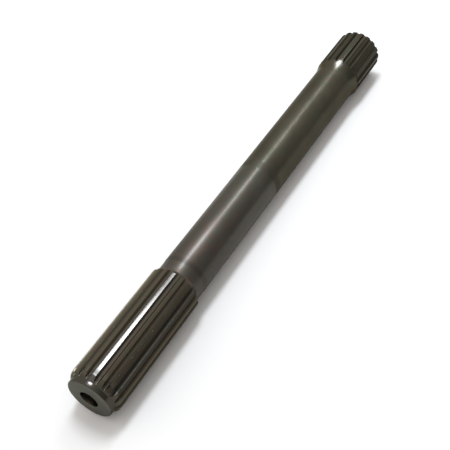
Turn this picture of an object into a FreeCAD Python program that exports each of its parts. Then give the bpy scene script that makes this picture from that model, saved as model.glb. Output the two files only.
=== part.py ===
# Machine shaft: one steel bar with a spline on each end and a hole drilled in the near end.
#
# Frame: the axis is X, and the origin is the centre of the near end face, so the shaft runs from
# x = 0 to x = shaft_length. Z is up. A tooth space points straight up and another straight down,
# as they do when the shaft lies on a flat surface on two teeth of each spline. Millimetres.

import FreeCAD, Part
import math
import os
import Sketcher

# Driving dimensions, each set here once: name, value, what it is.
DIMENSIONS = [
    ("shaft_length", 510, "from end face to end face"),
    ("body_diameter", 44, "plain bar between the splines"),
    ("tooth_count", 18, "teeth on each spline"),
    ("tooth_height", 2.6, "from the floor of a tooth space to the tip"),
    ("floor_rise", 0.15, "how far those floors stand above the plain bar"),
    ("space_tip_width", 5.6, "tooth space, measured across its top"),
    ("space_floor_width", 2.4, "tooth space, measured across its floor"),
    ("flank_radius", 13, "bulge of a tooth flank, near to an involute"),
    ("pilot_length", 5, "short plain ring in front of the near teeth"),
    ("pilot_step", 0.65, "how far that ring lies below the floors"),
    ("pilot_chamfer", 1, "edge of the near face, at 45 degrees"),
    ("near_lead_length", 6.5, "rounded lead-in of the near teeth"),
    ("near_spline_length", 125, "from the near face to where the near teeth fall away"),
    ("near_ramp_length", 5, "fall of the near teeth down to the neck"),
    ("near_crest_radius", 2.2, "rounding at the top of that fall"),
    ("neck_length", 11.5, "shallow neck behind the near spline"),
    ("neck_depth", 0.25, "how far the neck lies below the plain bar"),
    ("neck_step_length", 0.6, "small cone from the neck up to the bar"),
    ("far_spline_length", 53, "from the far face to the top of the swell"),
    ("flare_length", 17, "swell from the plain bar up to the far spline"),
    ("flare_crest_radius", 20, "rounding at the top of the swell"),
    ("cutter_radius", 12, "curve in which the far tooth spaces run out"),
    ("run_out_start", 1.5, "from the top of the swell to the full depth of those spaces"),
    ("far_lead_length", 3, "rounded lead-in of the far teeth"),
    ("far_lead_depth", 2.95, "from the far tips down to the edge of the far face"),
    ("end_bore_diameter", 17.5, "hole in the near face"),
    ("end_bore_depth", 60, "its straight wall"),
    ("drill_angle", 118, "cone at the bottom of a drilled hole, in degrees"),
    ("centre_mouth_diameter", 10, "centre hole in the far face, at the face"),
    ("centre_cone_angle", 60, "its cone, in degrees"),
    ("centre_pilot_diameter", 4, "its pilot"),
    ("centre_pilot_depth", 10, "depth of the pilot below the face"),
]

# Radii and places along the axis that follow from them.
BODY_RADIUS = "sizes.body_diameter / 2"
NECK_RADIUS = f"{BODY_RADIUS} - sizes.neck_depth"
FLOOR_RADIUS = f"{BODY_RADIUS} + sizes.floor_rise"
TIP_RADIUS = f"{FLOOR_RADIUS} + sizes.tooth_height"
PILOT_RADIUS = f"{FLOOR_RADIUS} - sizes.pilot_step"
NEAR_LEAD_END = "sizes.pilot_length + sizes.near_lead_length"
NECK_START = "sizes.near_spline_length + sizes.near_ramp_length"
NECK_END = f"{NECK_START} + sizes.neck_length"
FLARE_TOP = "sizes.shaft_length - sizes.far_spline_length"
FAR_FULL_DEPTH = f"{FLARE_TOP} + sizes.run_out_start"

CUT_CLEARANCE = 1.5     # how far a cut reaches past the surface that it opens
RUN_OUT_SWEEP = 50      # degrees, more than a run-out needs to leave the metal


def make_sheet(doc):
    """Spreadsheet with one row per driving dimension."""
    sheet = doc.addObject("Spreadsheet::Sheet", "sizes")
    for row, (name, value, meaning) in enumerate(DIMENSIONS, start=1):
        sheet.set(f"A{row}", meaning)
        sheet.set(f"B{row}", str(value))
        sheet.setAlias(f"B{row}", name)
    doc.recompute()
    return sheet


def origin_feature(body, role):
    return next(item for item in body.Origin.OriginFeatures if item.Role == role)


def new_sketch(body, name, plane, offset=None):
    """Sketch on one of the body's origin planes, moved along the plane's normal by a formula."""
    sketch = body.newObject("Sketcher::SketchObject", name)
    sketch.AttachmentSupport = [(origin_feature(body, plane), "")]
    sketch.MapMode = "FlatFace"
    if offset:
        sketch.setExpression(".AttachmentOffset.Base.z", offset)
    return sketch


def value_of(sketch, formula):
    return float(sketch.evalExpression(formula))


def point_of(sketch, formulas):
    return FreeCAD.Vector(value_of(sketch, formulas[0]), value_of(sketch, formulas[1]), 0)


def end_at(sketch, item, point):
    """Which end of a line or an arc lies at a point: 1 is its start, 2 is its end."""
    return min((1, 2), key=lambda end: sketch.getPoint(item, end).distanceToPoint(point))


def add_line(sketch, start, end):
    return sketch.addGeometry(Part.LineSegment(start, end), False)


def add_arc(sketch, start, centre, end):
    """Arc from start to end, the short way round its centre."""
    radius = start.distanceToPoint(centre)
    outward = ((start - centre).normalize() + (end - centre).normalize()).normalize()
    return sketch.addGeometry(Part.Arc(start, centre + outward * radius, end), False)


def join(sketch, first, second, point, smooth=False):
    kind = "Tangent" if smooth else "Coincident"
    ends = (first, end_at(sketch, first, point), second, end_at(sketch, second, point))
    sketch.addConstraint(Sketcher.Constraint(kind, *ends))


def bind(sketch, constraint, formula):
    sketch.setExpression(f"Constraints[{sketch.addConstraint(constraint)}]", formula)


def place_end(sketch, item, point, formulas):
    """Holds an end of a line or an arc at its two coordinates; a zero holds it on that axis."""
    end = end_at(sketch, item, point)
    for kind, axis, formula, value in (
        ("DistanceX", -2, formulas[0], point.x),
        ("DistanceY", -1, formulas[1], point.y),
    ):
        if formula == "0":
            sketch.addConstraint(Sketcher.Constraint("PointOnObject", item, end, axis))
        else:
            bind(sketch, Sketcher.Constraint(kind, -1, 1, item, end, value), formula)


def set_radius(sketch, item, formula):
    bind(sketch, Sketcher.Constraint("Radius", item, value_of(sketch, formula)), formula)


def arc_centre(start, end, radius):
    """Centre of an arc of a given radius, to the left of the way from start to end."""
    way = end - start
    height = math.sqrt(radius**2 - (way.Length / 2) ** 2)
    left = FreeCAD.Vector(-way.y, way.x, 0).normalize()
    return (start + end) / 2 + left * height


def draw_outline(sketch, corners):
    """Closed outline through corners. Each is a pair of formulas and how the stretch after it runs:
    "line", ("round", "start" or "end") for an arc that is level at that end of the stretch, or
    ("ramp", radius formula) for two arcs from one level to another, the crest's radius given."""
    points = [point_of(sketch, corner[:2]) for corner in corners]
    stretches = []
    for number, (x_formula, y_formula, kind) in enumerate(corners):
        start = points[number]
        end = points[(number + 1) % len(points)]
        if kind == "line":
            items = [add_line(sketch, start, end)]
            smooth_start = smooth_end = False
        elif kind[0] == "round":
            smooth_start = kind[1] == "start"
            smooth_end = kind[1] == "end"
            level = start if smooth_start else end
            other = end if smooth_start else start
            drop = level.y - other.y
            radius = ((level.x - other.x) ** 2 + drop**2) / (2 * drop)
            items = [add_arc(sketch, start, level - FreeCAD.Vector(0, radius, 0), end)]
        else:
            items = draw_ramp(sketch, start, end, kind[1])
            smooth_start = smooth_end = True
        place_end(sketch, items[0], start, (x_formula, y_formula))
        stretches.append((items, smooth_start, smooth_end))
    for number, (items, smooth_start, smooth_end) in enumerate(stretches):
        before, smooth_before = stretches[number - 1][0], stretches[number - 1][2]
        join(sketch, before[-1], items[0], points[number], smooth_start or smooth_before)


def draw_ramp(sketch, start, end, crest_formula):
    """Two arcs from one level to another; the crest is the arc at the larger radius."""
    crest, foot = (start, end) if start.y > end.y else (end, start)
    drop = crest.y - foot.y
    crest_radius = value_of(sketch, crest_formula)
    foot_radius = ((crest.x - foot.x) ** 2 + drop**2) / (2 * drop) - crest_radius
    crest_centre = crest - FreeCAD.Vector(0, crest_radius, 0)
    foot_centre = foot + FreeCAD.Vector(0, foot_radius, 0)
    middle = crest_centre + (foot_centre - crest_centre).normalize() * crest_radius
    centres = (crest_centre, foot_centre) if start is crest else (foot_centre, crest_centre)
    items = [
        add_arc(sketch, start, centres[0], middle),
        add_arc(sketch, middle, centres[1], end),
    ]
    join(sketch, items[0], items[1], middle, smooth=True)
    set_radius(sketch, items[0] if start is crest else items[1], crest_formula)
    return items


def turn_blank(body):
    """The turned bar before any cutting: half its outline, revolved about the axis."""
    sketch = new_sketch(body, "blank_outline", "XZ_Plane")
    draw_outline(
        sketch,
        [
            ("0", "0", "line"),
            ("0", f"{PILOT_RADIUS} - sizes.pilot_chamfer", "line"),
            ("sizes.pilot_chamfer", PILOT_RADIUS, "line"),
            ("sizes.pilot_length", PILOT_RADIUS, ("round", "end")),
            (NEAR_LEAD_END, TIP_RADIUS, "line"),
            ("sizes.near_spline_length", TIP_RADIUS, ("ramp", "sizes.near_crest_radius")),
            (NECK_START, NECK_RADIUS, "line"),
            (NECK_END, NECK_RADIUS, "line"),
            (f"{NECK_END} + sizes.neck_step_length", BODY_RADIUS, "line"),
            (f"{FLARE_TOP} - sizes.flare_length", BODY_RADIUS, ("ramp", "sizes.flare_crest_radius")),
            (FLARE_TOP, TIP_RADIUS, "line"),
            ("sizes.shaft_length - sizes.far_lead_length", TIP_RADIUS, ("round", "start")),
            ("sizes.shaft_length", f"{TIP_RADIUS} - sizes.far_lead_depth", "line"),
            ("sizes.shaft_length", "0", "line"),
        ],
    )
    blank = body.newObject("PartDesign::Revolution", "blank")
    blank.Profile = sketch
    blank.ReferenceAxis = (sketch, ["H_Axis"])
    blank.Angle = 360
    return blank


def draw_tooth_space(sketch):
    """Section of one tooth space, pointing up, open above the teeth. Its floor is part of a circle
    about the shaft's axis, and each flank bulges out of its tooth."""
    half_floor = "sizes.space_floor_width / 2"
    half_tip = "sizes.space_tip_width / 2"
    above = f"{TIP_RADIUS} + {CUT_CLEARANCE}"
    axis = FreeCAD.Vector()
    floor = point_of(sketch, (half_floor, FLOOR_RADIUS))
    floor.y = math.sqrt(floor.y**2 - floor.x**2)
    tip = point_of(sketch, (half_tip, TIP_RADIUS))
    top = point_of(sketch, (half_tip, above))
    flank_centre = arc_centre(tip, floor, value_of(sketch, "sizes.flank_radius"))

    def left(point):
        return FreeCAD.Vector(-point.x, point.y, 0)

    def right(point):
        return point

    floor_arc = add_arc(sketch, left(floor), axis, right(floor))
    top_line = add_line(sketch, left(top), right(top))
    sketch.addConstraint(Sketcher.Constraint("Coincident", floor_arc, 3, -1, 1))
    set_radius(sketch, floor_arc, FLOOR_RADIUS)
    for side, sign in ((right, ""), (left, "-")):
        corner = end_at(sketch, floor_arc, side(floor))
        width = Sketcher.Constraint("DistanceX", -1, 1, floor_arc, corner, side(floor).x)
        bind(sketch, width, f"{sign}{half_floor}")
        flank = add_arc(sketch, side(floor), side(flank_centre), side(tip))
        wall = add_line(sketch, side(tip), side(top))
        place_end(sketch, flank, side(tip), (f"{sign}{half_tip}", TIP_RADIUS))
        place_end(sketch, top_line, side(top), (f"{sign}{half_tip}", above))
        join(sketch, floor_arc, flank, side(floor))
        join(sketch, flank, wall, side(tip))
        join(sketch, wall, top_line, side(top))
        set_radius(sketch, flank, "sizes.flank_radius")


def repeat_round(body, name, features):
    """Repeats cuts once for each tooth, about the shaft's axis."""
    pattern = body.newObject("PartDesign::PolarPattern", name)
    pattern.Originals = features
    pattern.Axis = (origin_feature(body, "X_Axis"), [""])
    pattern.Angle = 360
    pattern.setExpression("Occurrences", "sizes.tooth_count")
    body.Tip = pattern
    return pattern


def cut_near_spline(body):
    """Tooth spaces from the near face until the falling teeth leave them."""
    sketch = new_sketch(body, "near_space_section", "YZ_Plane")
    draw_tooth_space(sketch)
    space = body.newObject("PartDesign::Pocket", "near_space")
    space.Profile = sketch
    space.Reversed = True
    space.setExpression("Length", NECK_START)
    return repeat_round(body, "near_spline", [space])


def cut_far_spline(body):
    """Tooth spaces from the far face inwards, which run out in the curve of the cutter."""
    section = new_sketch(body, "far_space_section", "YZ_Plane", "sizes.shaft_length")
    draw_tooth_space(section)
    space = body.newObject("PartDesign::Pocket", "far_space")
    space.Profile = section
    space.setExpression("Length", "sizes.far_spline_length - sizes.run_out_start")

    run_out_section = new_sketch(body, "far_run_out_section", "YZ_Plane", FAR_FULL_DEPTH)
    draw_tooth_space(run_out_section)
    axis_height = f"{FLOOR_RADIUS} + sizes.cutter_radius"
    height = value_of(run_out_section, axis_height)
    reach = value_of(run_out_section, "sizes.space_tip_width")
    ends = [FreeCAD.Vector(x, height, 0) for x in (-reach, reach)]
    axis = run_out_section.addGeometry(Part.LineSegment(*ends), True)
    run_out_section.addConstraint(Sketcher.Constraint("Horizontal", axis))
    bind(run_out_section, Sketcher.Constraint("DistanceY", -1, 1, axis, 1, height), axis_height)
    run_out = body.newObject("PartDesign::Groove", "far_run_out")
    run_out.Profile = run_out_section
    run_out.ReferenceAxis = (run_out_section, ["Axis0"])
    run_out.Angle = RUN_OUT_SWEEP
    return repeat_round(body, "far_spline", [space, run_out])


def drill_near_end(body):
    """Blind hole in the near face, with the cone that a drill leaves."""
    sketch = new_sketch(body, "end_bore_circle", "YZ_Plane")
    bore_radius = "sizes.end_bore_diameter / 2"
    face_normal = FreeCAD.Vector(0, 0, 1)
    mouth = Part.Circle(FreeCAD.Vector(), face_normal, value_of(sketch, bore_radius))
    circle = sketch.addGeometry(mouth, False)
    sketch.addConstraint(Sketcher.Constraint("Coincident", circle, 3, -1, 1))
    set_radius(sketch, circle, bore_radius)
    body.Document.recompute()
    bore = body.newObject("PartDesign::Hole", "end_bore")
    bore.Profile = sketch
    bore.Reversed = True
    bore.DepthType = "Dimension"
    bore.DrillPoint = "Angled"
    bore.setExpression("Diameter", "sizes.end_bore_diameter")
    bore.setExpression("Depth", "sizes.end_bore_depth")
    bore.setExpression("DrillPointAngle", "sizes.drill_angle")
    return bore


def drill_far_centre(body):
    """Small centre hole in the far face: a cone for the lathe's point, and its pilot."""
    sketch = new_sketch(body, "far_centre_outline", "XZ_Plane")
    mouth = "sizes.centre_mouth_diameter / 2"
    pilot = "sizes.centre_pilot_diameter / 2"
    cone = f"({mouth} - {pilot}) / tan(sizes.centre_cone_angle * 0.5 deg)"
    tip = f"{pilot} / tan(sizes.drill_angle * 0.5 deg)"
    draw_outline(
        sketch,
        [
            ("sizes.shaft_length", "0", "line"),
            ("sizes.shaft_length", mouth, "line"),
            (f"sizes.shaft_length - {cone}", pilot, "line"),
            ("sizes.shaft_length - sizes.centre_pilot_depth", pilot, "line"),
            (f"sizes.shaft_length - sizes.centre_pilot_depth - {tip}", "0", "line"),
        ],
    )
    centre = body.newObject("PartDesign::Groove", "far_centre")
    centre.Profile = sketch
    centre.ReferenceAxis = (sketch, ["H_Axis"])
    centre.Angle = 360
    return centre


def check_step(doc, feature, volume_before):
    """Each cut must take metal away, which a cut that points outwards doesn't."""
    doc.recompute()
    volume = feature.Shape.Volume
    if volume_before and not 0 < volume < volume_before:
        raise RuntimeError(f"{feature.Name} removes nothing")
    print(f"{feature.Name}: {volume / 1000:.2f} cm3 left")
    return volume


def check_document(doc):
    for item in doc.Objects:
        if {"Invalid", "Error"} & set(item.State):
            raise RuntimeError(f"{item.Name} failed: {item.State}")


def make_shaft(doc):
    body = doc.addObject("PartDesign::Body", "splined_shaft")
    body.Label = "splined_shaft"
    doc.recompute()
    volume = check_step(doc, turn_blank(body), None)
    for cut in (cut_near_spline, cut_far_spline, drill_near_end, drill_far_centre):
        volume = check_step(doc, cut(body), volume)
    return body


doc = FreeCAD.newDocument("machine_shaft")
make_sheet(doc)
shaft = make_shaft(doc)
doc.recompute()
check_document(doc)
if shaft.Shape.isNull() or not shaft.Shape.isValid() or len(shaft.Shape.Solids) != 1:
    raise RuntimeError("the shaft is not one valid solid")
os.makedirs("parts", exist_ok=True)
shaft.Shape.exportStep(f"parts/{shaft.Label}.step")
print("box", shaft.Shape.BoundBox)
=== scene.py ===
import math

import bpy
from mathutils import Euler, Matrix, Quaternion, Vector


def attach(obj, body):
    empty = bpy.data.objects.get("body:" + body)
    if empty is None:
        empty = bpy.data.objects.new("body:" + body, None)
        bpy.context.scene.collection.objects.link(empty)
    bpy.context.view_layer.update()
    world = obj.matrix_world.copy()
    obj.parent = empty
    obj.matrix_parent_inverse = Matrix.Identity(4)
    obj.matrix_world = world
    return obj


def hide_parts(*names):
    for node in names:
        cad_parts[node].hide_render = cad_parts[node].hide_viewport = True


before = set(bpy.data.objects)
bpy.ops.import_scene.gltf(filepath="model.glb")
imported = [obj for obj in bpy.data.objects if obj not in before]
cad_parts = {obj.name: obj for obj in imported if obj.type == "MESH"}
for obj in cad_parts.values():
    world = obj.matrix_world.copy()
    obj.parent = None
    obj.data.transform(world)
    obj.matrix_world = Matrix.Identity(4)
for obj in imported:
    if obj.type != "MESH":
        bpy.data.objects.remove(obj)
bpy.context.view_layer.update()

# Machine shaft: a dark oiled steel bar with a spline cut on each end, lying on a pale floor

mm = 0.001    # every size below is in millimetres, Blender works in metres


# Small helpers for editing by operators

def deselectAll():
    if bpy.context.object and bpy.context.object.mode != "OBJECT":
        bpy.ops.object.mode_set(mode="OBJECT")
    bpy.ops.object.select_all(action="DESELECT")


def pickOnly(piece):
    deselectAll()
    piece.select_set(True)
    bpy.context.view_layer.objects.active = piece


def editMode():
    bpy.ops.object.mode_set(mode="EDIT")
    bpy.ops.mesh.select_mode(type="VERT")


def objectMode():
    bpy.ops.object.mode_set(mode="OBJECT")


def pickVertices(piece, wanted):
    # selection is set in object mode, then shown to edit mode
    objectMode()
    for part in (piece.data.polygons, piece.data.edges):
        part.foreach_set("select", [False] * len(part))
    for vertex in piece.data.vertices:
        vertex.select = wanted(vertex.co)
    editMode()


def near(value, target):
    slack = 0.02
    return abs(value - target * mm) < slack * mm


def settle(piece):
    # the place and turn go into the mesh, so the object itself stays at the origin
    pickOnly(piece)
    bpy.ops.object.transform_apply(location=True, rotation=True, scale=True)


def extrude(along, up=0):
    bpy.ops.mesh.extrude_region_move(TRANSFORM_OT_translate={"value": (along * mm, 0, up * mm)})


def finishMesh():
    # every face points outwards, and edit mode ends
    bpy.ops.mesh.select_all(action="SELECT")
    bpy.ops.mesh.normals_make_consistent(inside=False)
    objectMode()


# The shaft

shaft = {
    "length": 510,
    "barRadius": 22,
    "barRings": (210, 280, 360),  # rings of points along the plain bar
    "roundSegments": 288,        # 16 for each tooth
    "tipRadius": 24.75,
    "floorRadius": 22.15,
    "pilotRadius": 21.5,
    "pilotLength": 5,
    "pilotChamfer": 1,
    "chamferBreak": (0.15, 0.1),  # how far its corners are broken on the flat and on the slope
    "nearLeadEnd": 11.5,
    "nearLeadSteps": 10,
    "nearSplineEnd": 125,
    "nearRampEnd": 130,
    "nearCrestRadius": 2.2,
    "nearRampSteps": 8,
    "neckRadius": 21.75,
    "neckEnd": 141.5,
    "barStart": 142.1,
    "groundEnd": 273,            # where the ground seat ends, with a dull band after it
    "satinStart": 281,           # where the satin turned length starts
    "swellStart": 440,
    "swellTop": 457,
    "swellCrestRadius": 20,
    "swellSteps": 10,
    "farLeadStart": 507,
    "farEdgeRadius": 21.8,
    "farLeadSteps": 8,
    "boreRadius": 8.75,
    "boreDepth": 60,
    "boreEdge": 0.35,            # the mouth's edge is rounded by this much
    "drillAngle": 118,
    "centreMouthRadius": 5,
    "centreMouthEdge": 0.2,
    "centreConeAngle": 60,
    "centrePilotRadius": 2,
    "centrePilotDepth": 10,
    "mergeWithin": 0.002,        # points that the cuts leave this close together are merged
    "smoothAngle": 34,           # degrees, past which an edge stays sharp
}

toothSpace = {
    "count": 18,
    "tipWidth": 5.6,
    "floorWidth": 2.4,
    "flankRadius": 13,
    "flankSteps": 6,
    "floorFillet": 0.35,
    "filletSteps": 4,
    "tipEdge": 0.16,             # how far down the flank the tooth's edge is rounded
    "edgeCurve": ((0.12, -0.45), (0.75, -0.02), (1.6, 0.3)),  # that edge, out and up from the tip
    "above": 1.5,                # how far the cutter stands out of the teeth
    "overrun": 3,                # how far it stands out of the end face
    "nearEnd": 136,              # over the neck, where it is already clear of the metal
    "farFullDepth": 458.5,
    "runOutRadius": 12,
    "runOutSweep": 50,
    "runOutSteps": 20,
}


def arcStations(start, end, levelAt, steps):
    # points of an arc that is level, along the axis, at one of its ends
    level, other = (start, end) if levelAt == "start" else (end, start)
    drop = level[1] - other[1]
    run = other[0] - level[0]
    radius = (run**2 + drop**2) / (2 * drop)
    sweep = math.asin(run / radius)
    points = []
    for step in range(steps + 1):
        turn = sweep * step / steps
        points.append((level[0] + radius * math.sin(turn), level[1] - radius * (1 - math.cos(turn))))
    return points if levelAt == "start" else points[::-1]


def hollowStations(start, end, levelAt, steps):
    # such an arc bent the other way, as the foot of a ramp is
    points = arcStations((start[0], -start[1]), (end[0], -end[1]), levelAt, steps)
    return [(along, -radius) for along, radius in points]


def rampStations(start, end, crestRadius, steps):
    # two arcs that take the surface from one level to another without a corner
    crest, foot = (start, end) if start[1] > end[1] else (end, start)
    drop = crest[1] - foot[1]
    run = foot[0] - crest[0]
    bothRadii = (run**2 + drop**2) / (2 * drop)
    share = crestRadius / bothRadii
    middle = (crest[0] + run * share, crest[1] - drop * share)
    if start == crest:
        upper = arcStations(start, middle, "start", steps)
        return upper + hollowStations(middle, end, "end", steps)[1:]
    lower = hollowStations(start, middle, "start", steps)
    return lower + arcStations(middle, end, "end", steps)[1:]


def coneDepth(radius, angle):
    return radius / math.tan(math.radians(angle / 2))


def turnedStations():
    # where the turned surface runs, from the bottom of the bore out to the far centre hole
    s = shaft
    edge = s["boreEdge"]
    halfway = edge * 0.3     # the middle of a rounded edge lies this far inside its corner
    onFlat, onSlope = s["chamferBreak"]
    faceRadius = s["pilotRadius"] - s["pilotChamfer"]
    stations = [
        (edge, s["boreRadius"]),
        (halfway, s["boreRadius"] + halfway),
        (0, s["boreRadius"] + edge),
        (0, faceRadius - onFlat),
        (onSlope, faceRadius + onSlope),
        (s["pilotChamfer"] - onSlope, s["pilotRadius"] - onSlope),
        (s["pilotChamfer"] + onFlat, s["pilotRadius"]),
        (s["pilotLength"], s["pilotRadius"]),
    ]
    leadEnd = (s["nearLeadEnd"], s["tipRadius"])
    stations += arcStations(stations[-1], leadEnd, "end", s["nearLeadSteps"])[1:]
    rampStart = (s["nearSplineEnd"], s["tipRadius"])
    rampEnd = (s["nearRampEnd"], s["neckRadius"])
    stations += rampStations(rampStart, rampEnd, s["nearCrestRadius"], s["nearRampSteps"])
    stations += [(s["neckEnd"], s["neckRadius"]), (s["barStart"], s["barRadius"])]
    stations += [(ring, s["barRadius"]) for ring in s["barRings"]]
    swellStart = (s["swellStart"], s["barRadius"])
    swellTop = (s["swellTop"], s["tipRadius"])
    stations += rampStations(swellStart, swellTop, s["swellCrestRadius"], s["swellSteps"])
    leadStart = (s["farLeadStart"], s["tipRadius"])
    farEdge = (s["length"], s["farEdgeRadius"])
    stations += arcStations(leadStart, farEdge, "start", s["farLeadSteps"])
    centreCone = coneDepth(s["centreMouthRadius"] - s["centrePilotRadius"], s["centreConeAngle"])
    stations += [
        (s["length"], s["centreMouthRadius"] + s["centreMouthEdge"]),
        (s["length"] - s["centreMouthEdge"], s["centreMouthRadius"]),
        (s["length"] - centreCone, s["centrePilotRadius"]),
        (s["length"] - s["centrePilotDepth"], s["centrePilotRadius"]),
    ]
    return stations


def turnBlank():
    # starts as the cone that the drill leaves, and grows ring by ring along the turned outline
    s = shaft
    tipDepth = coneDepth(s["boreRadius"], s["drillAngle"])
    deselectAll()
    bpy.ops.mesh.primitive_cone_add(
        vertices=s["roundSegments"], radius1=s["boreRadius"] * mm, radius2=0, depth=tipDepth * mm,
        end_fill_type="NOTHING", location=((s["boreDepth"] + tipDepth / 2) * mm, 0, 0),
        rotation=(0, math.pi / 2, 0))
    blank = bpy.context.object
    blank.name = "splinedShaft"
    settle(blank)
    editMode()
    pickVertices(blank, lambda co: near(co.x, s["boreDepth"]))
    place, radius = s["boreDepth"], s["boreRadius"]
    for nextPlace, nextRadius in turnedStations():
        growth = nextRadius / radius
        extrude(nextPlace - place)
        bpy.ops.transform.resize(value=(1, growth, growth), center_override=(nextPlace * mm, 0, 0))
        place, radius = nextPlace, nextRadius
    extrude(-coneDepth(s["centrePilotRadius"], s["drillAngle"]))
    bpy.ops.mesh.merge(type="CENTER")
    finishMesh()
    return blank


def flankStations():
    # half width and height of the tooth space, from its floor to the rounded edge of the tooth
    t = toothSpace
    floorHalf, tipHalf = t["floorWidth"] / 2, t["tipWidth"] / 2
    floor = Vector((floorHalf, math.sqrt(shaft["floorRadius"]**2 - floorHalf**2)))
    tip = Vector((tipHalf, shaft["tipRadius"]))
    way = tip - floor
    side = Vector((way.y, -way.x)).normalized()
    centre = (floor + tip) / 2 + side * math.sqrt(t["flankRadius"]**2 - (way.length / 2)**2)
    first = math.atan2(floor.y - centre.y, floor.x - centre.x)
    last = math.atan2(tip.y - centre.y, tip.x - centre.x)
    first, last = (angle % (2 * math.pi) for angle in (first, last))
    stations = []
    for step in range(t["flankSteps"] + 1):
        turn = first + (last - first) * step / t["flankSteps"]
        stations.append((
            centre.x + t["flankRadius"] * math.cos(turn), centre.y + t["flankRadius"] * math.sin(turn)))
    edge = t["tipEdge"]
    lean = (stations[-1][0] - stations[-2][0]) / (stations[-1][1] - stations[-2][1])
    stations[-1] = (tip.x - lean * edge, tip.y - edge)
    for outwards, upwards in t["edgeCurve"]:
        stations.append((tip.x + edge * outwards, tip.y + edge * upwards))
    stations.append((stations[-1][0], tip.y + t["above"]))
    return stations


def shapeSection(place):
    # outline of one tooth space as a flat face across the axis, grown upwards from a thin strip
    t = toothSpace
    stations = flankStations()
    floorHalf, floorHeight = stations[0]
    half, height = stations[1]
    middle = (floorHeight + height) / 2
    deselectAll()
    bpy.ops.mesh.primitive_plane_add(
        size=1, location=(place * mm, 0, middle * mm), rotation=(0, math.pi / 2, 0))
    section = bpy.context.object
    section.scale = ((height - floorHeight) * mm, 2 * floorHalf * mm, 1)
    settle(section)
    editMode()
    pickVertices(section, lambda co: co.z > middle * mm)
    growth = half / floorHalf
    bpy.ops.transform.resize(value=(1, growth, 1), center_override=(place * mm, 0, height * mm))
    for nextHalf, nextHeight in stations[2:]:
        growth = nextHalf / half
        extrude(0, nextHeight - height)
        bpy.ops.transform.resize(value=(1, growth, 1), center_override=(place * mm, 0, nextHeight * mm))
        half, height = nextHalf, nextHeight
    pickVertices(section, lambda co: near(co.z, floorHeight))
    bpy.ops.mesh.bevel(offset=t["floorFillet"] * mm, segments=t["filletSteps"], affect="VERTICES")
    bpy.ops.mesh.select_all(action="SELECT")
    bpy.ops.mesh.dissolve_faces()
    bpy.ops.mesh.select_all(action="SELECT")
    return section


def repeatRound(cutter):
    # one cutter for each tooth space, each with a mesh of its own, then joined
    copies = [cutter]
    for number in range(1, toothSpace["count"]):
        pickOnly(cutter)
        bpy.ops.object.duplicate(linked=False)
        copy = bpy.context.object
        copy.rotation_euler = (math.radians(360 / toothSpace["count"] * number), 0, 0)
        bpy.ops.object.transform_apply(location=False, rotation=True, scale=False)
        copies.append(copy)
    deselectAll()
    for copy in copies:
        copy.select_set(True)
    bpy.context.view_layer.objects.active = cutter
    bpy.ops.object.join()
    return cutter


def makeNearCutters():
    start = -toothSpace["overrun"]
    section = shapeSection(start)
    extrude(toothSpace["nearEnd"] - start)
    finishMesh()
    return repeatRound(section)


def makeFarCutters():
    # straight along the teeth, then up out of the swell on an arc
    t = toothSpace
    end = shaft["length"] + t["overrun"]
    section = shapeSection(end)
    extrude(t["farFullDepth"] - end)
    arcHeight = shaft["floorRadius"] + t["runOutRadius"]
    bpy.ops.mesh.spin(
        steps=t["runOutSteps"], angle=math.radians(t["runOutSweep"]),
        center=(t["farFullDepth"] * mm, 0, arcHeight * mm), axis=(0, -1, 0))
    finishMesh()
    return repeatRound(section)


def cutAway(blank, cutter):
    pickOnly(blank)
    cut = blank.modifiers.new("toothSpaces", "BOOLEAN")
    cut.operation = "DIFFERENCE"
    cut.solver = "EXACT"
    cut.object = cutter
    bpy.ops.object.modifier_apply(modifier=cut.name)
    bpy.data.objects.remove(cutter, do_unlink=True)


def makeShaft():
    blank = turnBlank()
    print("turned blank:", len(blank.data.polygons), "faces")
    cutAway(blank, makeNearCutters())
    print("near spline cut:", len(blank.data.polygons), "faces")
    cutAway(blank, makeFarCutters())
    print("far spline cut:", len(blank.data.polygons), "faces")
    pickOnly(blank)
    editMode()
    bpy.ops.mesh.select_all(action="SELECT")
    bpy.ops.mesh.remove_doubles(threshold=shaft["mergeWithin"] * mm)
    finishMesh()
    bpy.ops.object.shade_smooth_by_angle(angle=math.radians(shaft["smoothAngle"]))
    return blank


piece = makeShaft()


# Steel

class Wire:
    # a socket that sums can be written with; anything else in the tree comes from node()
    def __init__(self, tree, socket):
        self.tree = tree
        self.socket = socket

    def maths(self, operation, *values):
        return node(self.tree, "ShaderNodeMath", {"operation": operation}, dict(enumerate(values)))

    def __add__(self, other):
        return self.maths("ADD", self, other)

    def __radd__(self, other):
        return self.maths("ADD", other, self)

    def __sub__(self, other):
        return self.maths("SUBTRACT", self, other)

    def __rsub__(self, other):
        return self.maths("SUBTRACT", other, self)

    def __mul__(self, other):
        return self.maths("MULTIPLY", self, other)

    def __rmul__(self, other):
        return self.maths("MULTIPLY", other, self)

    def __pow__(self, other):
        return self.maths("POWER", self, other)

    def __abs__(self):
        return self.maths("ABSOLUTE", self)


def node(tree, kind, settings, sockets, output=0):
    # settings first, then sockets: a Wire is linked, anything else is the socket's value
    made = tree.nodes.new(kind)
    for name, value in settings.items():
        setattr(made, name, value)
    for name, value in sockets.items():
        if isinstance(value, Wire):
            tree.links.new(value.socket, made.inputs[name])
        else:
            made.inputs[name].default_value = value
    return Wire(tree, made.outputs[output]) if made.outputs else None


def emptyTree(owner):
    owner.use_nodes = True
    owner.node_tree.nodes.clear()
    return owner.node_tree


def around(size, start, end):
    # a stretch that is given from one of the shaft's sizes, so that it moves with it
    return shaft[size] + start, shaft[size] + end


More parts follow.
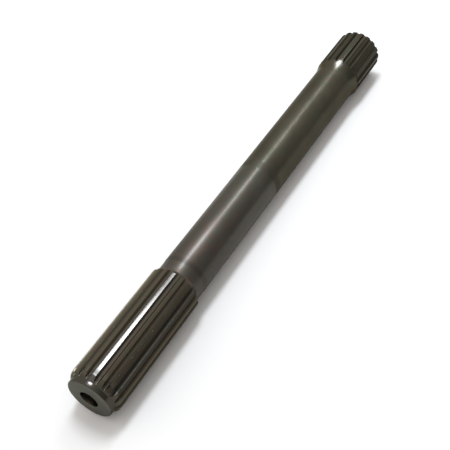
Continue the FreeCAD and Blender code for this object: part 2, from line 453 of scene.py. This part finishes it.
steel = {
    # colours, from the bar out to the marks on it
    "barColour": (0.0695, 0.0675, 0.053),
    "satinColour": (0.0725, 0.0685, 0.0505),
    "splineColour": (0.091, 0.079, 0.055),
    "farSplineColour": (0.040, 0.037, 0.025),
    "spaceColour": (0.061, 0.051, 0.037),
    "farSpaceColour": (0.053, 0.048, 0.030),
    "pilotColour": (0.056, 0.052, 0.038),
    "faceColour": (0.13, 0.136, 0.122),
    "boreColour": (0.075, 0.064, 0.05),
    "brownColour": (0.0715, 0.0582, 0.049),
    # painted shade for the mouths of the near tooth spaces, also the colour of the dark ring round the
    # neck
    "darkMarkColour": (0.020, 0.015, 0.011),
    "paintedHighlightColour": (0.2, 0.195, 0.18),
    "sheenToothColour": (0.094, 0.087, 0.080),
    "oliveTint": (0.97, 1.01, 0.96),
    "rustTint": (1.06, 0.96, 0.94),
    "glossTint": (0.45, 0.43, 0.38),

    # roughness, and what is added to it where wear or noise dulls it
    "groundRoughness": 0.35,
    "satinRoughness": 0.36,
    "bandRoughness": 0.46,
    "swellRoughness": 0.22,
    "landRoughness": 0.19,
    "farLandRoughness": 0.4,
    "spaceRoughness": 0.55,
    "paintedHighlightRoughness": 0.25,
    "faceRoughness": 0.5,
    "neckDulling": 0.11,         # on the bar behind the near spline
    "entryDulling": 0.25,        # on the teeth, where a hub rubs onto them
    "blotchDulling": 0.06,
    "turningDulling": 0.05,

    # the coat of oil
    "groundOil": 0.44,
    "satinOil": 0.17,
    "bandOil": 0.14,
    "swellOil": 0.15,
    "splineOil": 0.3,
    "spaceOil": 0.06,
    "oilRoughness": 0.22,
    "oilIor": 1.5,
    "greaseShare": 0.6,          # how much of the bare metal old oil hides in the tooth spaces

    # light and dark
    "plainShade": 0.965,
    "blotchShade": 0.3,
    "smudgeShade": 0.45,
    "streakShade": 0.16,
    "bandShade": 0.06,
    "underGroundShade": 0.29,    # painted shade: how much darker the side towards the floor is made, in place of a dimmer reflection of the floor
    "underSatinShade": 0.3,
    "underSplineShade": 0.2,
    "paintedToothShade": 0.65,
    "nearEvenShade": 0.6,        # how much of the uneven shade the near spline is spared
    "nearEvenFinish": 0.7,       # the same for its roughness and its turning marks
    "markStrength": 0.07,
    "markDepth": 0.02,

    # marks: radians round the shaft to the middle of each, then how far to each side it fades
    "shadedToothTurn": 2.79,         # painted shade: the near tooth that reflects the floor is darkened, to dim that reflection
    "shadedToothWidth": (0.12, 0.26),
    "sheenToothTurn": 1.745,       # painted sheen: the near tooth that carries the lamps' highlight gets an even, neutral colour, so that the highlight reads white
    "sheenToothWidth": (0.09, 0.13),
    "paintedHighlightTurn": 1.731,         # a bright spot painted on the swell where the lamps' highlight falls, a painted highlight
    "paintedHighlightWidth": (0.05, 0.26),

    # stretches along the shaft over which a finish or a mark sets in or ends
    "nearFaceEnd": (0.1, 0.9),
    "farFaceStart": around("length", -0.8, -0.1),
    "boreEnd": around("boreDepth", 10, 12),
    "pilotEnd": around("pilotLength", 0.5, 4),
    "spaceStart": around("pilotLength", 1.5, 4),
    "flankStart": around("nearLeadEnd", 0.5, 2),
    "entryStart": around("nearLeadEnd", -1, 0.5),
    "entryEnd": around("nearLeadEnd", 1.5, 7.5),
    "mouthShadeEnd": around("nearLeadEnd", -0.5, 5.5),
    "shadedToothStart": around("pilotLength", 1, 9),
    "sheenToothStart": around("pilotChamfer", 0.2, 1.2),
    "nearTeethEnd": around("nearRampEnd", -3, 1),
    "ringStart": around("neckEnd", -3, 0),
    "ringEnd": around("neckEnd", 1.5, 5.5),
    "brownStart": around("nearSplineEnd", 1, 4),
    "brownEnd": (240, 330),
    "neckDullingEnd": (150, 230),
    "bandStart": around("groundEnd", -0.8, 0.8),
    "bandEnd": around("satinStart", -1, 3),
    "satinFade": (shaft["groundEnd"] - 12, shaft["satinStart"] + 12),
    "swellFade": around("swellStart", -2, 6),
    "farTeethStart": around("swellTop", -6, -2),
    "farLandStart": around("swellTop", -2, 3),
    "paintedHighlightStart": around("swellStart", 3, 9),
    "paintedHighlightEnd": around("swellTop", -4, -0.5),

    # the same out from the axis, and up from it
    "spaceWall": around("floorRadius", 0.45, 2.15),
    "toothEdge": around("tipRadius", -0.17, -0.03),
    "boreWall": around("boreRadius", 0.05, 0.35),
    "underside": (8, 16),

    # painted shade in the mouths of the near tooth spaces, a dark ring round the neck, and brown patches
    "mouthShadeShare": 0.8,
    "ringShare": 0.15,
    "ringSmudge": 0.4,           # what smudges add to the dark ring round the neck
    "brownRagged": 120,          # how far smudges draw in the end of the brown stretch
    "brownSpeck": 0.5,
    "brownPatches": (0.5, 0.85),
    "brownUnderLoss": 0.6,       # how much of it is missing on the side towards the floor
    "rustPatches": (0.4, 0.6),

    # noise: stretch on its three axes, scale, detail, roughness
    "blotch": ((0.012, 0.03, 0.03), 1.6, 3, 0.6),
    "smudge": ((0.035, 0.06, 0.06), 1.5, 2, 0.5),
    "speck": ((0.07, 0.1, 0.1), 1.5, 2, 0.6),
    "turning": ((1, 0.6, 0.05), 2.4, 4, 0.7),
    "streak": ((0.02, 3, 0.1), 3, 3, 0.6),
}


def makeSteel():
    material = bpy.data.materials.new("darkMachinedSteel")
    tree = emptyTree(material)
    s = steel

    def add(kind, settings, sockets, output=0):
        return node(tree, kind, settings, sockets, output)

    def rise(value, stretch):
        # 0 before a named stretch and 1 after it, softly between
        start, end = s[stretch]
        return add("ShaderNodeMapRange", {"interpolation_type": "SMOOTHSTEP"}, {
            "Value": value, "From Min": start, "From Max": end, "To Min": 0, "To Max": 1})

    def fall(value, stretch):
        return 1 - rise(value, stretch)

    def blend(mask, first, second):
        return first + (second - first) * mask

    def mixColour(mask, first, second, how="MIX"):
        # inputs 6 and 7 and output 2 are the ones for colours
        sockets = {"Factor": mask}
        for name, value in ((6, first), (7, second)):
            sockets[name] = value if isinstance(value, Wire) else (*value, 1)
        return add("ShaderNodeMix", {"data_type": "RGBA", "blend_type": how}, sockets, 2)

    def noise(name, axes):
        stretch, scale, detail, roughness = s[name]
        place = add("ShaderNodeCombineXYZ", {}, {
            socket: axis * share for socket, axis, share in zip("XYZ", axes, stretch)})
        return add("ShaderNodeTexNoise", {"noise_dimensions": "3D"}, {
            "Vector": place, "Scale": scale, "Detail": detail, "Roughness": roughness})

    def swing(pattern, share):
        # noise lies about a half, so this adds as much as it takes away
        return (pattern - 0.5) * s[share]

    objectPlace = add("ShaderNodeTexCoord", {}, {}, "Object")
    x, y, z = (add("ShaderNodeSeparateXYZ", {}, {0: objectPlace}, axis) * (1 / mm) for axis in "XYZ")
    radius = (y * y + z * z) ** 0.5
    turn = y.maths("ARCTAN2", z, y)

    # marks left by turning and by wear run round the shaft, the others don't
    straight = (x, y, z)
    wound = (x, turn, radius)
    blotch = noise("blotch", straight)
    smudge = noise("smudge", straight)
    speck = noise("speck", straight)
    turning = noise("turning", wound)
    streak = noise("streak", wound)

    nearMask = fall(x, "nearTeethEnd")
    farMask = rise(x, "farTeethStart")
    splineMask = nearMask + farMask
    deep = fall(radius, "spaceWall") * rise(x, "spaceStart")
    spaceMask = splineMask * deep
    flankMask = splineMask * fall(radius, "toothEdge") * rise(x, "flankStart") - spaceMask
    pilotMask = fall(x, "pilotEnd")
    satinMask = rise(x, "satinFade")
    bandMask = rise(x, "bandStart") * fall(x, "bandEnd")
    swellMask = rise(x, "swellFade")
    faceMask = fall(x, "nearFaceEnd") + rise(x, "farFaceStart")
    boreMask = fall(radius, "boreWall") * fall(x, "boreEnd")
    underMask = fall(z, "underside") * (1 - faceMask)
    # painted highlight: a bright patch on the swell, at the turn where the lamps' highlight falls
    paintedHighlightStretch = rise(x, "paintedHighlightStart") * fall(x, "paintedHighlightEnd")
    paintedHighlightMask = fall(abs(turn - s["paintedHighlightTurn"]), "paintedHighlightWidth") * paintedHighlightStretch
    # painted shade: one near tooth is darkened where it would reflect the bright floor
    shadedToothStretch = nearMask * rise(x, "shadedToothStart")
    shadedTooth = shadedToothStretch * fall(abs(turn - s["shadedToothTurn"]), "shadedToothWidth")
    # painted sheen: the tooth under the highlight is picked out by its turn round the shaft
    sheenToothStretch = nearMask * rise(x, "sheenToothStart")
    sheenTooth = sheenToothStretch * fall(abs(turn - s["sheenToothTurn"]), "sheenToothWidth")
    ringMask = rise(x, "ringStart") * fall(x, "ringEnd") * (s["ringShare"] + smudge * s["ringSmudge"])
    # painted shade: the mouths of the near tooth spaces are darkened, where their hollows fall into shade
    mouthShadeMask = spaceMask * fall(x, "mouthShadeEnd") * s["mouthShadeShare"]
    brownStretch = rise(x, "brownStart") * fall(x + smudge * s["brownRagged"], "brownEnd")
    brownMask = brownStretch * rise(smudge + speck * s["brownSpeck"], "brownPatches")
    brownMask = brownMask * (1 - underMask * s["brownUnderLoss"])

    colour = mixColour(satinMask, s["barColour"], s["satinColour"])
    for mask, layer in (
            (nearMask, "splineColour"), (farMask, "farSplineColour"),
            (nearMask * deep, "spaceColour"), (farMask * deep, "farSpaceColour"),
            (pilotMask, "pilotColour"), (brownMask, "brownColour"), (mouthShadeMask + ringMask, "darkMarkColour"),
            (paintedHighlightMask, "paintedHighlightColour"), (faceMask, "faceColour"), (boreMask, "boreColour")):
        colour = mixColour(mask, colour, s[layer])
    uneven = swing(blotch, "blotchShade") + swing(smudge, "smudgeShade") + swing(streak, "streakShade")
    # painted shade: the side towards the floor is darkened, standing in for a dimmer reflection of the
    # floor
    paintedUnderShade = blend(satinMask, s["underGroundShade"], s["underSatinShade"])
    paintedUnderShade = blend(splineMask, paintedUnderShade, s["underSplineShade"])
    shade = s["plainShade"] + uneven * (1 - nearMask * s["nearEvenShade"]) - bandMask * s["bandShade"]
    shade = shade * (1 - underMask * paintedUnderShade) * (1 - shadedTooth * s["paintedToothShade"])
    shadeColour = add("ShaderNodeCombineColor", {}, {"Red": shade, "Green": shade, "Blue": shade})
    tint = mixColour(rise(speck, "rustPatches"), s["oliveTint"], s["rustTint"])
    for layer in (shadeColour, tint):
        colour = mixColour(1, colour, layer, "MULTIPLY")
    # painted sheen: the highlight's tooth takes an even, neutral colour, free of the tint and the uneven
    # shade
    colour = mixColour(sheenTooth * (1 - deep), colour, s["sheenToothColour"])

    rough = blend(satinMask, s["groundRoughness"], s["satinRoughness"])
    rough = blend(bandMask, rough, s["bandRoughness"])
    rough = rough + s["neckDulling"] * fall(x, "neckDullingEnd")
    land = s["landRoughness"] + s["entryDulling"] * fall(x, "entryEnd") * rise(x, "entryStart")
    for mask, layer in (
            (swellMask, s["swellRoughness"]), (rise(x, "farLandStart"), s["farLandRoughness"]),
            (nearMask, land), (spaceMask + flankMask, s["spaceRoughness"]),
            (paintedHighlightMask, s["paintedHighlightRoughness"]), (faceMask, s["faceRoughness"])):
        rough = blend(mask, rough, layer)
    finishMarks = 1 - nearMask * s["nearEvenFinish"]
    rough = rough + (swing(blotch, "blotchDulling") + swing(turning, "turningDulling")) * finishMarks

    oil = blend(satinMask, s["groundOil"], s["satinOil"])
    for mask, layer in (
            (bandMask, "bandOil"), (swellMask, "swellOil"), (splineMask, "splineOil"),
            (spaceMask + flankMask + faceMask, "spaceOil")):
        oil = blend(mask, oil, s[layer])
    bareMetal = 1 - spaceMask * s["greaseShare"]

    bump = add("ShaderNodeBump", {}, {
        "Height": turning * finishMarks, "Strength": s["markStrength"], "Distance": s["markDepth"] * mm})
    surface = add("ShaderNodeBsdfPrincipled", {}, {
        "Base Color": colour, "Roughness": rough, "Metallic": bareMetal, "Coat Weight": oil,
        "Coat Roughness": s["oilRoughness"], "Coat IOR": s["oilIor"], "Normal": bump,
        "Specular Tint": (*s["glossTint"], 1)})
    add("ShaderNodeOutputMaterial", {}, {"Surface": surface})
    return material


piece.data.materials.clear()
piece.data.materials.append(makeSteel())
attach(piece, "root")
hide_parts("splined_shaft")
print("steel on")


# Floor, world and lamps

studio = {
    "floorHeight": -24.63,       # the lowest point of the teeth
    "floorSize": 12000,
    "floorColour": (0.84, 0.825, 0.81),
    "worldColour": (1.0, 0.985, 0.965),
    "worldBright": 0.92,         # from behind the shaft and above it
    "worldDark": 0.36,           # from in front of it
    "worldFade": (-0.95, -0.15),  # from one to the other, where -1 is straight in front
    "lampColour": (0.85, 0.925, 1.0),
    "lampDistance": 1508,        # from the shaft's axis
    "lampLean": 7.9,             # degrees from upright, towards the back
    "lamps": {                   # start and end along the shaft, width, brightness
        "nearLamp": (300, 800, 340, 23),
        "neckLamp": (800, 920, 170, 18),
        "barLamp": (1055, 1520, 220, 12.5),
        "farLamp": (1520, 2010, 150, 11.5),
    },
}


def makeFloor():
    s = studio
    deselectAll()
    bpy.ops.mesh.primitive_plane_add(size=s["floorSize"] * mm, location=(0, 0, s["floorHeight"] * mm))
    floor = bpy.context.object
    floor.name = "floor"
    settle(floor)
    material = bpy.data.materials.new("paleFloor")
    tree = emptyTree(material)
    matte = node(tree, "ShaderNodeBsdfDiffuse", {}, {"Color": (*s["floorColour"], 1)})
    node(tree, "ShaderNodeOutputMaterial", {}, {"Surface": matte})
    floor.data.materials.append(material)


def makeWorld():
    s = studio
    world = bpy.data.worlds.new("softStudio")
    bpy.context.scene.world = world
    tree = emptyTree(world)
    direction = node(tree, "ShaderNodeTexCoord", {}, {}, "Generated")
    towardsBack = node(tree, "ShaderNodeSeparateXYZ", {}, {0: direction}, "Y")
    start, end = s["worldFade"]
    brightness = node(tree, "ShaderNodeMapRange", {"interpolation_type": "SMOOTHSTEP"}, {
        "Value": towardsBack, "From Min": start, "From Max": end, "To Min": s["worldDark"],
        "To Max": s["worldBright"]})
    background = node(tree, "ShaderNodeBackground", {}, {
        "Color": (*s["worldColour"], 1), "Strength": brightness})
    node(tree, "ShaderNodeOutputWorld", {}, {"Surface": background})


def makeStripLamps():
    # one row of flat lamps above the shaft, facing it
    s = studio
    lean = math.radians(s["lampLean"])
    reach = s["lampDistance"]
    for name, (start, end, width, brightness) in s["lamps"].items():
        light = bpy.data.lights.new(name, "AREA")
        light.shape = "RECTANGLE"
        light.size = (end - start) * mm
        light.size_y = width * mm
        light.energy = brightness * math.pi * light.size * light.size_y    # as bright at any size
        light.color = s["lampColour"]
        lamp = bpy.data.objects.new(name, light)
        bpy.context.scene.collection.objects.link(lamp)
        middle = ((start + end) / 2, reach * math.sin(lean), reach * math.cos(lean))
        lamp.location = [value * mm for value in middle]
        lamp.rotation_euler = Euler((-lean, 0, 0))


makeFloor()
makeWorld()
makeStripLamps()
print("studio built")


# Camera, at the photograph's viewing angle

view = {
    "place": (-217.2, -328.6, 564.7),
    "aim": (211.1, -1, 0),
    "roll": 8.95,               # degrees clockwise, seen from behind the camera
    "lens": 66.7,
    "sensorWidth": 36,
    "clip": (10, 50000),        # the nearest and furthest that it sees
}


def makeCamera():
    camera = bpy.data.objects.new("camera", bpy.data.cameras.new("camera"))
    bpy.context.scene.collection.objects.link(camera)
    place = Vector(view["place"]) * mm
    gaze = Vector(view["aim"]) * mm - place
    camera.location = place
    level = gaze.to_track_quat("-Z", "Y")
    camera.rotation_mode = "QUATERNION"
    camera.rotation_quaternion = level @ Quaternion((0, 0, 1), -math.radians(view["roll"]))
    camera.data.lens = view["lens"]
    camera.data.sensor_width = view["sensorWidth"]
    nearest, furthest = view["clip"]
    camera.data.clip_start = nearest * mm
    camera.data.clip_end = furthest * mm
    bpy.context.scene.camera = camera


makeCamera()
bpy.context.scene.view_settings.view_transform = "Standard"
print("camera set")
